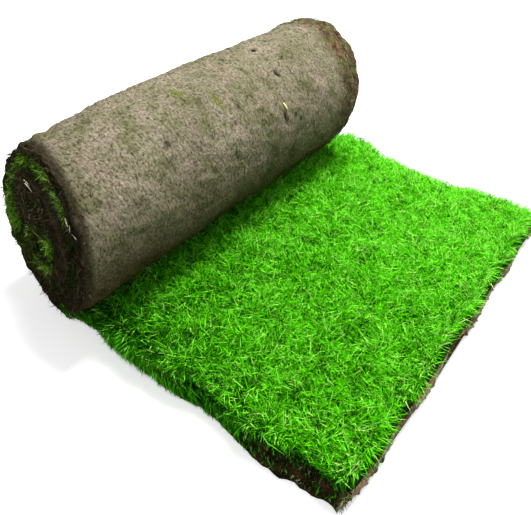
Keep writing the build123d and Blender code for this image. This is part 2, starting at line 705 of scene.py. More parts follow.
@dataclass(frozen=True)
class Mark:
    """A pit, slit or speck on the outer face, placed along the strip and from its middle line."""

    along: float
    y: float
    reach_along: float
    reach_y: float
    colour: tuple[float, float, float]
    deep: float = 0.0

    def weight(self, along: np.ndarray, y: np.ndarray) -> np.ndarray:
        """How much the mark covers each place: a bell curve of its two reaches."""
        return np.exp(-(((along - self.along) / self.reach_along) ** 2) - ((y - self.y) / self.reach_y) ** 2)


# The black of the pits and slits is painted shade in them.
PIT_SHADE, GREEN, RUST = (0.004, 0.004, 0.003), (0.120, 0.150, 0.040), (0.150, 0.075, 0.035)
MARKS = (
    Mark(0.921, 0.126, 0.0045, 0.0048, PIT_SHADE, 0.004),
    Mark(0.988, 0.110, 0.0080, 0.0032, PIT_SHADE, 0.003),
    Mark(1.058, 0.078, 0.0085, 0.0028, PIT_SHADE, 0.003),
    Mark(1.060, 0.101, 0.0040, 0.0032, (0.03, 0.026, 0.018)),
    Mark(1.070, 0.111, 0.0040, 0.0032, (0.03, 0.026, 0.018)),
    Mark(0.940, -0.068, 0.0120, 0.0080, GREEN),
    Mark(0.984, -0.028, 0.0160, 0.0060, GREEN),
    Mark(1.007, -0.144, 0.0050, 0.0050, (0.06, 0.052, 0.03)),
    Mark(1.007, -0.004, 0.0050, 0.0040, (0.08, 0.075, 0.06)),
    Mark(0.996, 0.282, 0.0190, 0.0060, RUST),
    Mark(1.090, 0.286, 0.0180, 0.0060, RUST),
)


@dataclass(frozen=True)
class Skin:
    """The soil's vertices, ring after ring, and what the colour of each is worked out from."""

    rings: tuple[int, int]
    points: np.ndarray
    along: np.ndarray
    level: np.ndarray
    depth: np.ndarray
    cut: np.ndarray
    from_near: np.ndarray
    from_far: np.ndarray
    corner: np.ndarray


@dataclass
class SoilMat:
    """The soil layer of the whole strip: a closed section carried along the winding."""

    strip: Strip
    across: int = 176
    inner: int = 20
    thick: int = 8
    flap_rows: int = 60
    turn_rows: int = 230
    wound_rows: int = 120
    cap_rows: int = 4
    slit: float = 0.04
    lump: float = 0.0016

    def section(self) -> tuple[np.ndarray, np.ndarray, np.ndarray]:
        """Closed section: outer face from near to far, far side, grass face back, near side.

        Returns:
            Place across the strip (0 near, 1 far), place through it (0 outer, 1 grass side) and
            how much the point belongs to a cut side, each for one ring.
        """
        out = np.linspace(0.0, 1.0, self.across)
        rise = np.linspace(0.0, 1.0, self.thick + 2)[1:-1]
        back = np.linspace(1.0, 0.0, self.inner)
        across = np.concatenate([out, np.ones(self.thick), back, np.zeros(self.thick)])
        through = np.concatenate([np.zeros(self.across), rise, np.ones(self.inner), rise[::-1]])
        side = np.ones(self.thick)
        cut = np.concatenate([np.zeros(self.across), side, np.zeros(self.inner), side])
        return across, through, cut

    def lengthwise(self) -> tuple[np.ndarray, np.ndarray]:
        """Stations along the strip, closest together on the outer turn, and how far each ring has grown.

        Returns:
            Distance from the cut end, and 1 for a whole ring or less where the ring closes to a slit.
        """
        first, last = self.strip.flap + self.strip.flat, self.strip.length
        turn = first + 2.0 * math.pi * self.strip.first_radius
        along = np.concatenate([
            np.linspace(0.0, first, self.flap_rows, endpoint=False),
            np.linspace(first, turn, self.turn_rows, endpoint=False),
            np.linspace(turn, last, self.wound_rows),
        ])
        grow = np.linspace(self.slit, 1.0, self.cap_rows, endpoint=False)
        along = np.concatenate([np.zeros(self.cap_rows), along, np.full(self.cap_rows, last)])
        return along, np.concatenate([grow, np.ones(len(along) - 2 * self.cap_rows), grow[::-1]])

    def relief(self, along: np.ndarray, y: np.ndarray) -> np.ndarray:
        """Height of the outer face over its plain form: waves of 120, 40 and 14 mm, less the marks.

        Args:
            along: distance from the cut end.
            y: place across the strip, in Y of the frame.

        Returns:
            The height at each place.
        """
        level = y - self.strip.home_y
        long, middle = waves(along, y, 0.120, 11), waves(along, y, 0.040, 12)
        short = waves(along, y, 0.014, 13)
        lift = self.lump * (1.2 * long + 0.8 * middle + 0.5 * short)
        return lift - sum(mark.deep * mark.weight(along, level) for mark in MARKS)

    def tints(self, skin: Skin) -> np.ndarray:
        """Colour of each vertex: taupe felt outside, darker and browner low on the roll and along the near
        rim as painted shade, dark humus on the cut sides, straw on the cut end.

        Args:
            skin: the vertices.

        Returns:
            One linear colour per vertex.
        """
        pale = np.array([0.235, 0.222, 0.158])
        # Brown: the darker colour of the painted shade low on the roll.
        brown = np.array([0.058, 0.047, 0.012])
        # The near black of the painted shade along the near rim.
        rim_shade_colour = np.array([0.024, 0.021, 0.009])
        humus = np.array([0.011, 0.010, 0.004])
        bark = np.array([0.120, 0.055, 0.024])
        torn = np.array([0.105, 0.080, 0.042])
        straw = np.array([0.460, 0.330, 0.190])
        along, y, z = skin.along, skin.level, skin.points[:, 2]
        worn = 0.5 + 0.5 * waves(along, y, 0.11, 21)
        # Painted shade: pale is blended towards brown low on the roll, broken up by random blotches.
        low = (1.0 - ease(z, 0.045, 0.225)) * 0.95 + 0.18 * worn
        tint = blend(pale, brown, np.clip(low, 0.0, 1.0))
        band = 1.0 - ease(skin.from_far, 0.034, 0.074)
        tint = blend(tint, torn, 0.88 * band)
        crumbs = band * np.clip(0.1 + 1.6 * waves(along, y, 0.020, 23), 0.0, 1.0)
        tint = blend(tint, 0.6 * bark, 0.85 * crumbs)
        green = band * np.clip(1.3 * waves(along, y, 0.034, 24) - 0.1, 0.0, 1.0)
        tint = blend(tint, np.array(GREEN), 0.8 * green)
        # Painted shade along the near rim, widest at the upper left where the rim is rounded most.
        near_rim_shade = 1.0 - ease(skin.from_near, 0.006, 0.016 + 0.012 * skin.corner)
        near_rim_shade = near_rim_shade * (0.90 + 0.10 * skin.corner)
        tint = blend(tint, rim_shade_colour, np.clip(near_rim_shade, 0.0, 1.0))
        # The black of the pits and slits is painted shade; the other marks are the soil's own colours.
        for mark in MARKS:
            tint = blend(tint, np.array(mark.colour), np.minimum(1.5 * mark.weight(along, y), 1.0))
        clod = np.clip(0.5 + 0.9 * waves(along, 2.0 * z, 0.028, 25), 0.0, 1.0)
        shown = np.where(along < self.strip.flap, 0.50, 0.16) + 0.5 * (y > 0.0)
        side = blend(humus, bark, np.minimum(shown * clod**2, 1.0))
        tint = blend(tint, side, skin.cut)
        at_end = along < self.strip.end_face
        ends = at_end.astype(float) * (0.55 + 0.45 * waves(y, z, 0.05, 22))
        tint = blend(tint, straw, np.clip(ends, 0.0, 1.0))
        dark = np.clip(1.6 * waves(y, 2.0 * z, 0.014, 26) - 0.1, 0.0, 1.0) * at_end
        return 0.90 * blend(tint, bark, 0.75 * dark)

    def skin(self) -> Skin:
        """Works out the vertices.

        A ring is moved along the strip's line. The outer face is lifted by its relief and worn
        down at the rims, and the cut sides are pushed in and out by finer waves. Near the flap's
        front corner the near side slopes back. At each end of the strip the ring shrinks to a
        slit about its middle line, and the flap's end face is torn by the finest waves.

        Returns:
            The vertices, with what goes with each.
        """
        strip = self.strip
        across, through, cut = self.section()
        along, grown = self.lengthwise()
        station = along[:, None] * np.ones(len(across))
        middle = 0.5 + (through[None, :] - 0.5) * grown[:, None]
        depth = middle * strip.soil
        x, z, inward_x, inward_z = strip.place(station, depth)
        inset = 0.5 * strip.soil * (1.0 - grown)[:, None]
        near = strip.side(station, x, z, End.NEAR) + inset
        near += strip.recess(station) * through - strip.foot(station) * (1.0 - through)
        far = strip.side(station, x, z, End.FAR) - inset
        bare = across[None, :] * np.ones(station.shape)
        y = near + (far - near) * bare
        level = y - strip.home_y
        lift = self.relief(station, y)
        turned = strip.facing(x, z)
        near_rim, far_rim = strip.rim_wear(station, turned, y - near, far - y)
        worn = near_rim * (1.0 + 0.3 * waves(station, y, 0.03, 17))
        worn += far_rim * (1.0 + 0.5 * waves(station, y, 0.028, 18))
        outer = (through < 0.01)[None, :] * ease(z, 0.002, 0.030)
        lift = lift * outer - worn * (1.0 - through)[None, :]
        x -= lift * inward_x
        z -= lift * inward_z
        ragged = 0.0020 * waves(station, 3.0 * depth, 0.034, 14)
        ragged = ragged + 0.0009 * waves(station, 2.0 * depth, 0.016, 15)
        edge = np.clip(1.0 - np.minimum(bare, 1.0 - bare) * 40.0, 0.0, 1.0)
        y += ragged * edge * np.where(bare < 0.5, -1.0, 1.0)
        x += strip.cut_end(y) * (1.0 - ease(station, 0.0, 0.05))
        torn = 0.0026 * waves(y, 2.0 * depth, 0.012, 16) + 0.0012 * waves(y, depth, 0.005, 19)
        x += torn * (station < strip.end_face)
        return Skin(
            rings=station.shape,
            points=np.stack([x, y, np.maximum(z, 0.0)], axis=-1).reshape(-1, 3),
            along=station.ravel(),
            level=level.ravel(),
            depth=depth.ravel(),
            cut=(cut[None, :] * np.ones(station.shape)).ravel(),
            from_near=(y - near).ravel(),
            from_far=(far - y).ravel(),
            corner=strip.corner(turned).ravel(),
        )

    def build(self) -> bpy.types.Object:
        """Builds the soil, whose map runs along the strip and, across it, over the sides.

        Returns:
            The finished object.
        """
        skin = self.skin()
        corners, counts = ring_faces(*skin.rings)
        piece = lay_mesh("soil_skin", skin.points, corners, counts)
        set_colours(piece, "Tint", self.tints(skin))
        layer = piece.data.uv_layers.new(name="Strip")
        places = np.stack([skin.along, skin.level + skin.depth], axis=-1)
        layer.data.foreach_set("uv", places[corners].astype(np.float32).ravel())
        piece.data.materials.append(SoilFinish().build())
        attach(piece, BODY)
        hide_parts("soil_mat")
        return piece


@dataclass
class Thatch:
    """The dense mat of stems at the foot of the grass, which also fills the space between the turns."""

    strip: Strip
    stations: int = 330
    across: int = 90
    low: float = 0.014
    inset: float = 0.006
    sunk: float = 0.008
    start: float = 0.005
    overlap: float = 0.002

    def build(self) -> bpy.types.Object:
        """Builds the mat as a flat closed ring carried along the strip.

        Its grass side lies at the soil's thickness plus a low height on the flap, and rises to the
        pitch of the turns inside the roll, but never past the middle of the tightest turns. On the
        flap it is lifted by waves of 30 and 12 mm. It reaches a little into the soil, and at the
        two ends of the strip nothing but that overlap is left of its height.

        Returns:
            The finished object.
        """
        strip = self.strip
        out = np.linspace(0.0, 1.0, self.across)
        across = np.concatenate([out, out[::-1]])
        top = np.concatenate([np.zeros(self.across), np.ones(self.across)])
        along = np.linspace(self.start, strip.length, self.stations)
        station = along[:, None] * np.ones(len(across))
        radius = np.full(along.shape, strip.first_radius)
        for run in strip.runs():
            if run.radius:
                radius = np.where(along >= run.start, run.radius, radius)
        inside = ease(along, strip.flap - 0.03, strip.flap + 0.01)
        full = np.minimum(strip.pressed - 0.001, radius - strip.soil - 0.005)
        height = self.low * (1.0 - inside) + full * inside
        height = np.where(np.arange(len(along)) % (len(along) - 1) == 0, 0.0, height)
        base = strip.soil - self.overlap
        depth = base + top[None, :] * (height[:, None] + self.overlap)
        x, z, inward_x, inward_z = strip.place(station, depth)
        inset = self.inset + (self.sunk - self.inset) * inside[:, None]
        near = strip.side(station, x, z, End.NEAR) + inset + strip.recess(station)
        far = strip.side(station, x, z, End.FAR) - inset
        y = near + (far - near) * across[None, :]
        bumps = 0.0030 * waves(station, y, 0.030, 31) + 0.0020 * waves(station, y, 0.012, 32)
        lift = bumps * top[None, :] * (1.0 - inside)[:, None]
        lift = lift * ease(station, self.start, 2.0 * self.start)
        points = np.stack([x + lift * inward_x, y, z + lift * inward_z], axis=-1).reshape(-1, 3)
        piece = lay_mesh("thatch", points, *ring_faces(len(along), len(across)))
        piece.data.materials.append(ThatchShadeFinish().build())
        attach(piece, BODY)
        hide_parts("grass_sward")
        return piece


@dataclass
class Blades:
    """Many blades as one mesh: each is a bent ribbon without thickness, one quad and a pointed tip."""

    roots: np.ndarray
    heading: np.ndarray
    bend: np.ndarray
    length: np.ndarray
    width: np.ndarray
    tint: np.ndarray
    twist: float = 0.25

    def build(self, name: str, finish: bpy.types.Material, slot: str) -> bpy.types.Object:
        """Builds the blades.

        The middle line of a blade is root + length (t heading + t^2 bend), for t from 0 to 1. Its
        ribbon lies across that line, and is 0.8, 1 and 0 times the width wide at the rows
        t = 0, 0.5 and 1. What would dip into the floor is laid on it. On the blade's map the tint
        runs across and the height runs up.

        Args:
            name: the piece's name.
            finish: its material.
            slot: not used.

        Returns:
            The finished object.
        """
        count = len(self.roots)
        rng = np.random.default_rng(len(name) + count)
        flat = unit(np.cross(self.heading, self.bend + rng.normal(0.0, self.twist, (count, 3))))
        way = np.array([0.0, 0.5, 1.0])[None, :, None]
        spine = self.heading[:, None, :] * way + self.bend[:, None, :] * way**2
        spine = self.roots[:, None, :] + self.length[:, None, None] * spine
        half = 0.5 * (self.width[:, None] * np.array([0.8, 1.0]))[:, :, None] * flat[:, None, :]
        pairs = np.stack([spine[:, :2] - half, spine[:, :2] + half], axis=2).reshape(count, 4, 3)
        points = np.concatenate([pairs, spine[:, 2:]], axis=1)
        points[..., 2] = np.maximum(points[..., 2], FLOOR_GAP)
        corners = (np.arange(count)[:, None] * 5 + np.array([0, 1, 3, 2, 2, 3, 4])[None, :]).ravel()
        piece = lay_mesh(name, points.reshape(-1, 3), corners, np.tile([4, 3], count))
        across = np.array([-0.003, 0.003, -0.003, 0.003, 0.0])
        up = np.array([0.02, 0.02, 0.5, 0.5, 0.98])
        tint = np.clip(self.tint, 0.01, 0.99)
        spots = np.stack([tint[:, None] + across[None, :], np.broadcast_to(up, (count, 5))], axis=-1)
        layer = piece.data.uv_layers.new(name="OFBake")
        layer.data.foreach_set("uv", spots.reshape(-1, 2)[corners].astype(np.float32).ravel())
        piece.data.materials.append(finish)
        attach(piece, BODY)
        return piece


@dataclass(frozen=True)
class Spots:
    """Where the blades of one band of the flap stand, and how close each is to the flap's margins."""

    x: np.ndarray
    y: np.ndarray
    ahead: np.ndarray
    near: np.ndarray
    far: np.ndarray
    out_near: np.ndarray
    out_far: np.ndarray
    out_end: np.ndarray
    hung: np.ndarray


@dataclass
class FlapGrass:
    """The standing grass of the open flap, in several pieces side by side along the flap."""

    strip: Strip
    pieces: int = 4
    count: int = 45000
    seed: int = 100
    tall: float = 0.030
    lengths: tuple[float, float] = (0.004, 0.042)
    widths: tuple[float, float] = (0.0008, 0.0018)
    bases: tuple[float, float] = (0.005, 0.016)
    behind: float = 0.008
    end_margin: float = 0.011
    near_margin: float = 0.002
    side_margins: float = 0.006

    def spots(self, rng: np.random.Generator, part: int) -> Spots:
        """Spreads the roots of one band evenly between the two cut sides.

        Args:
            rng: source of the random draws.
            part: number of the band, counted from the roll.

        Returns:
            The places of the roots.
        """
        strip, count = self.strip, self.count
        reach = strip.flap - self.end_margin + 2.0 * self.behind
        x = strip.home_x - self.behind + reach * (part + rng.random(count)) / self.pieces
        ahead = x - strip.home_x
        along = strip.flap - ahead
        low = np.full(x.shape, strip.soil)
        near = strip.side(along, x, low, End.NEAR) + strip.recess(along)
        far = strip.side(along, x, low, End.FAR)
        y = near + self.near_margin + (far - near - self.side_margins) * rng.random(count)
        x = x + strip.cut_end(y) * ease(ahead, strip.flap - 0.05, strip.flap)
        x = x - 0.005 * ease(ahead, strip.flap - 0.03, strip.flap)
        out_near = 1.0 - ease(y - near, 0.0, 0.030)
        out_far = 1.0 - ease(far - y, 0.0, 0.025)
        out_end = 1.0 - ease(strip.flap - ahead, 0.004, 0.030)
        hung = out_near * (1.0 - 0.7 * ease(ahead, 0.24, 0.40))
        return Spots(x, y, ahead, near, far, out_near, out_far, out_end, hung)

    def ways(self, rng: np.random.Generator, spots: Spots, gap: np.ndarray) -> tuple[np.ndarray, np.ndarray]:
        """Which way each blade grows and bends.

        Blades lean with a slowly turning flow and each by its own chance. Those under the roll
        lean out from below it, and those of the near side hang over the cut.

        Args:
            rng: source of the random draws.
            spots: the places of the roots.
            gap: height that is clear above the soil at each root.

        Returns:
            Heading and bend of each blade.
        """
        count, x, y, hung = self.count, spots.x, spots.y, spots.hung
        flow_x = 0.50 * waves(x, y, 0.055, 41) + 0.30 * waves(x, y, 0.020, 42)
        flow_y = 0.50 * waves(x, y, 0.055, 43) + 0.30 * waves(x, y, 0.020, 44)
        foot = hung * (1.0 - ease(spots.ahead, 0.03, 0.16))
        stray = 0.65 * (1.0 - 0.45 * spots.out_near) * (1.0 - 0.6 * spots.out_end)
        lean_x = flow_x * (1.0 - spots.out_end) + rng.normal(0.0, 1.0, count) * stray
        lean_x = lean_x - 0.25 * spots.out_end + 0.35 * hung
        lean_y = flow_y + rng.normal(0.0, 1.0, count) * stray + 0.45 * spots.out_far
        lean_y = lean_y - 0.55 * hung - 0.6 * foot
        lean_x = lean_x + 1.0 * (1.0 - ease(gap, 0.01, 0.06))
        heading = unit(np.stack([0.75 * lean_x, 0.75 * lean_y, np.ones(count)], axis=-1))
        droop = rng.uniform(0.1, 0.8, count)
        turn = rng.normal(0.0, 0.7, (2, count))
        side = unit(np.stack([lean_x + turn[0], lean_y + turn[1], np.zeros(count)], axis=-1))
        bend = side * (1.1 * droop)[:, None]
        bend[:, 2] -= 0.45 * droop
        return heading, bend

    def tints(self, rng: np.random.Generator, spots: Spots, clump: np.ndarray,
              tuft: np.ndarray) -> np.ndarray:
        """How light each blade is, from 0 for the darkest to 1 for straw.

        Blades are painted lighter away from the roll and towards the far side, and painted darker in
        small hollows, along the near side and where they hang, as painted light and shade. A few of each
        band are pale lime as painted highlights, a few of those that hang are pale, and a few are dry.

        Args:
            rng: source of the random draws.
            spots: the places of the roots.
            clump: 0 to 1 over clumps of about 32 mm.
            tuft: -1 to 1 over tufts of about 11 mm.

        Returns:
            The tint of each blade.
        """
        strip, count, x, y, ahead = self.strip, self.count, spots.x, spots.y, spots.ahead
        # Painted light and shade: darker by the roll, which shades the flap, and lighter towards the far
        # side.
        painted_lighting = 0.14 * ease(ahead, 0.02, 0.36) + 0.20 * ease(y - strip.home_y, -0.22, 0.25)
        # Painted light along the far edge, on the half of the flap by the roll.
        painted_far_light = 0.14 * (1.0 - ease(spots.far - y, 0.02, 0.09)) * (1.0 - ease(ahead, 0.25, 0.40))
        # Painted shade where blades hang over the near side.
        painted_lighting += painted_far_light - 0.24 * spots.hung
        gaps = waves(x, y, 0.0075, 48)
        # Painted shade in small hollows of the grass.
        painted_hollow_shade = np.clip(1.8 * waves(x, y, 0.013, 49) - 0.4, 0.0, 1.0)
        # Painted shade along the near side, on the half of the flap by the roll.
        painted_shade = (1.0 - ease(y - spots.near, 0.010, 0.110)) * (1.0 - ease(ahead, 0.22, 0.42))
        painted_lighting -= 0.28 * painted_hollow_shade + 0.12 * painted_shade
        tint = 0.215 + painted_lighting + 0.13 * waves(x, y, 0.045, 46) + 0.10 * clump + 0.12 * tuft + 0.10 * gaps
        tint = tint + rng.normal(0.0, 0.33, count)
        odd = rng.random(count)
        # Tints from 0.80 to 0.92 are pale lime blades: painted highlights.
        tint = np.where(odd < 0.045, rng.uniform(0.80, 0.92, count), np.clip(tint, 0.0, 0.88))
        tint = np.where((spots.out_end > 0.6) & (rng.random(count) < 0.10), 0.95, tint)
        tint = np.where(odd > 0.995, rng.uniform(0.94, 0.99, count), tint)
        tint = np.where((spots.hung > 0.3) & (odd > 0.93), 0.90, tint)
        # Dark blades along the near side: painted shade.
        under = (spots.out_near > 0.5) & (rng.random(count) < 0.35)
        return np.where(under, rng.uniform(0.0, 0.12, count), tint)

    def scatter(self, part: int) -> Blades:
        """Places the blades of one band of the flap.

        Roots stand at their own heights in the thatch. Blades are longest where they hang over the near
        side, and shorter where the roll comes down on the flap. A blade whose tip would pass one
        of the long sides by more than that side's table allows is moved inwards.

        Args:
            part: number of the band, counted from the roll.

        Returns:
            The blades, not yet built.
        """
        rng = np.random.default_rng(self.seed + part)
        strip, count = self.strip, self.count
        spots = self.spots(rng, part)
        ahead, near, far = spots.ahead, spots.near, spots.far
        gap = strip.under_roll(spots.x) - strip.soil
        heading, bend = self.ways(rng, spots, gap)
        clump = 0.5 + 0.5 * waves(spots.x, spots.y, 0.032, 45)
        tuft = waves(spots.x, spots.y, 0.011, 47)
        hang = 0.15 + 0.40 * ease(ahead, 0.04, 0.09) * (1.0 - ease(ahead, 0.20, 0.25))
        share = 0.60 + 0.20 * clump + 0.12 * tuft + hang * spots.hung + rng.normal(0.0, 0.16, count)
        length = self.tall * share
        room = np.minimum(0.95 * gap, strip.standing + 0.006)
        base = np.minimum(rng.uniform(*self.bases, count), 0.4 * gap)
        length = np.clip(np.minimum(length, (room - base) / np.maximum(heading[:, 2], 0.4)), *self.lengths)
        tip = length * (heading[:, 1] + bend[:, 1])
        y = spots.y - np.maximum(spots.y + tip - far - trim(ahead, FAR_TRIM), 0.0)
        y = y + np.maximum(near - trim(ahead, NEAR_TRIM) - y - tip, 0.0)
        width = rng.uniform(*self.widths, count)
        tint = self.tints(rng, replace(spots, y=y), clump, tuft)
        roots = np.stack([spots.x, y, strip.soil + base], axis=-1)
        return Blades(roots, heading, bend, length, width, tint)

    def build(self, finish: bpy.types.Material) -> list[bpy.types.Object]:
        """Builds every band of the flap's grass."""
        return [
            self.scatter(part).build(f"flap_grass_{part + 1}", finish, "grass")
            for part in range(self.pieces)
        ]


@dataclass
class HangingGrass:
    """Blades that hang over the soil's near side, thickest by the roll and few at the front corner."""

    strip: Strip
    count: int = 9000
    seed: int = 600
    lengths: tuple[float, float] = (0.008, 0.017)
    widths: tuple[float, float] = (0.0008, 0.0017)
    lowest: float = 0.008

    def build(self, finish: bpy.types.Material) -> bpy.types.Object:
        """Builds the blades, each running down the side from its own height above the floor.

        Args:
            finish: the grass material.

        Returns:
            The finished object.
        """
        rng = np.random.default_rng(self.seed)
        strip, count = self.strip, self.count
        ahead = -0.008 + (strip.flap + 0.003) * rng.random(count) ** 1.25
        x = strip.home_x + ahead
        along = strip.flap - ahead
        tufts = 0.5 + 0.5 * waves(x, x, 0.022, 61)
        kept = rng.random(count) < (1.0 - 0.78 * ease(ahead, 0.29, 0.36)) * (0.55 + 0.45 * tufts)
        x, ahead, along, tufts = x[kept], ahead[kept], along[kept], tufts[kept]
        count = len(x)
        high = rng.uniform(self.lowest, strip.soil + 0.010, count)
        near = strip.side(along, x, np.full(count, strip.soil), End.NEAR)
        rise = np.clip(high / strip.soil, 0.0, 1.3)
        out = rng.uniform(-0.001, 0.003, count) * ease(ahead, 0.03, 0.10)
        y = near + strip.recess(along) * rise - strip.foot(along) * (1.0 - rise) - out
        spread = np.clip(trim(ahead, NEAR_TRIM) / 0.022, 0.0, 1.0)
        heading = unit(np.stack([
            rng.normal(0.15, 0.65, count),
            -rng.uniform(0.10, 0.45, count) - 0.75 * spread,
            -np.ones(count),
        ], axis=-1))
        bend = np.stack([
            rng.normal(0.0, 0.3, count),
            rng.uniform(0.0, 0.25, count),
            np.full(count, -0.15),
        ], axis=-1)
        outer = np.exp(-(((ahead - 0.135) / 0.035) ** 2))
        length = rng.uniform(*self.lengths, count) * (0.7 + 0.6 * tufts + 0.35 * outer)
        length = np.minimum(length, 1.15 * high)
        width = rng.uniform(*self.widths, count)
        # Dark tints: painted shade on the grass that hangs over the near side, darkest by the roll.
        tint = 0.02 + 0.14 * tufts + 0.11 * ease(ahead, 0.0, 0.12) + rng.normal(0.0, 0.20, count)
        tint = np.where(rng.random(count) < 0.04, 0.90, np.clip(tint, 0.0, 0.7))
        roots = np.stack([x, y, high], axis=-1)
        return Blades(roots, heading, bend, length, width, tint).build("hanging_grass", finish, "grass")


@dataclass
class RollGrass:
    """Grass pressed between the turns, where it shows at one end of the roll."""

    strip: Strip
    end: End
    count: int = 10000
    seed: int = 200
    lengths: tuple[float, float] = (0.005, 0.012)
    widths: tuple[float, float] = (0.0008, 0.0015)

    def light(self, along: np.ndarray, depth: np.ndarray, facing: np.ndarray,
              tufts: np.ndarray) -> np.ndarray:
        """How much painted light the grass gets: most where a turn faces the light and half way through the
        grass.

        The outer turn faces it on top, the next on its right and the core at its upper left. The
        share falls with the angle from there, and as a bell curve of the depth.

        Args:
            along: distance from the cut end.
            depth: distance from the soil's outer face.
            facing: way from the roll's axis, in degrees.
            tufts: how thick the tufts stand.

        Returns:
            The share at each place.
        """
        strip = self.strip
        turn = (along > strip.outer_turn).astype(int) + (along > strip.inner_turn).astype(int)
        best, spread = np.array([110.0, -30.0, 130.0])[turn], np.array([85.0, 75.0, 65.0])[turn]
        off = np.abs((facing - best + 180.0) % 360.0 - 180.0) / spread
        level = (depth - strip.soil) / strip.pressed
        return (1.0 - ease(off, 0.6, 1.2)) * tufts * np.exp(-(((level - 0.45) / 0.45) ** 2))

    def build(self, finish: bpy.types.Material) -> bpy.types.Object:
        """Builds the blades of this end.

        Roots lie along the winding, between the soil and the next turn. A blade runs mostly with
        the winding and a little outwards past the end. On the left of the near end the grass of
        the outer turn bulges out and is longer.

        Args:
            finish: the grass material.

        Returns:
            The finished object.
        """
        rng = np.random.default_rng(self.seed + self.end.value)
        strip, sign, count = self.strip, float(self.end.value), self.count
        start = strip.flap + strip.flat
        along = start + (strip.length - start) * rng.random(count) ** 0.9
        depth = strip.soil + strip.pressed * rng.uniform(0.05, 0.95, count)
        x, z, inward_x, inward_z = strip.place(along, depth)
        facing = strip.facing(x, z)
        tufts = np.clip(0.75 + 0.7 * waves(along, 0.3 * depth, 0.045, 54), 0.15, 1.0)
        light = self.light(along, depth, facing, tufts)
        y = strip.side(along, x, z, self.end) - sign * rng.uniform(0.002, 0.012, count)
        zero = np.zeros(count)
        turned = np.stack([inward_z, zero, -inward_x], axis=-1)
        inward = np.stack([inward_x, zero, inward_z], axis=-1)
        outward = np.array([0.0, sign, 0.0])
        heading = unit(
            turned * rng.normal(0.0, 0.8, count)[:, None]
            + outward * rng.uniform(0.2, 0.9, count)[:, None]
            + inward * rng.normal(0.05, 0.35, count)[:, None]
        )
        bend = turned * rng.normal(0.0, 0.45, count)[:, None] + rng.normal(0.0, 0.15, (count, 3))
        bend[:, 2] -= 0.10
        bulging = (along <= strip.outer_turn) & (self.end is End.NEAR)
        left = np.where(bulging, np.exp(-(((facing % 360.0 - 190.0) / 38.0) ** 2)), 0.0)
        heading = unit(heading + (0.3 * outward - 0.6 * inward) * left[:, None])
        length = rng.uniform(*self.lengths, count) * (0.45 + 0.75 * light + 1.1 * left)
        width = rng.uniform(*self.widths, count)
        # Painted light: the tint follows the lit share, the bulging grass on the left is painted lit too,
        # and pale blades where it is lit are painted highlights.
        tint = 0.05 + 0.62 * np.maximum(light, 0.7 * left * tufts) + 0.05 * waves(along, depth, 0.05, 52)
        tint += rng.normal(0.0, 0.17, count) * (0.25 + light)
        tint = np.where(rng.random(count) < 0.07 * light, 0.8, tint)
        blades = Blades(np.stack([x, y, z], axis=-1), heading, bend, length, width, np.clip(tint, 0.0, 0.93))
        return blades.build(f"roll_grass_{self.end.name.lower()}", finish, "grass")


@dataclass
class EndRoots:
    """Torn roots and stems that lie over the near end of the roll and hang from its turns."""

    strip: Strip
    count: int = 3600
    seed: int = 400
    lengths: tuple[float, float] = (0.004, 0.013)
    widths: tuple[float, float] = (0.0005, 0.0012)

    def build(self, finish: bpy.types.Material) -> bpy.types.Object:
        """Builds the roots, scattered over the whole end but for what is worn off the outer rim.

        Args:
            finish: the fibre material.

        Returns:
            The finished object.
        """
        rng = np.random.default_rng(self.seed)
        strip, count = self.strip, self.count
        start = strip.flap + strip.flat
        along = start + (strip.length - start) * rng.random(count) ** 0.9
        depth = rng.uniform(0.0, strip.pitch, count)
        x, z, _, _ = strip.place(along, depth)
        worn, _ = strip.rim_wear(along, strip.facing(x, z), np.zeros(count), np.full(count, 1.0))
        depth = np.maximum(depth, worn + 0.003)
        x, z, _, _ = strip.place(along, depth)
        y = strip.side(along, x, z, End.NEAR) - rng.uniform(-0.003, 0.002, count)
        heading = unit(np.stack([
            rng.normal(0.0, 0.7, count),
            rng.uniform(-0.6, 0.1, count),
            rng.normal(-0.4, 0.7, count),
        ], axis=-1))
        bend = rng.normal(0.0, 0.4, (count, 3))
        length = rng.uniform(*self.lengths, count)
        width = rng.uniform(*self.widths, count)
        brown = 0.5 + 0.5 * waves(along, depth, 0.07, 53)
        tint = np.clip(0.18 * brown + rng.normal(0.0, 0.12, count), 0.0, 0.7)
        roots = np.stack([x, y, z], axis=-1)
        return Blades(roots, heading, bend, length, width, tint).build("end_roots", finish, "soil")


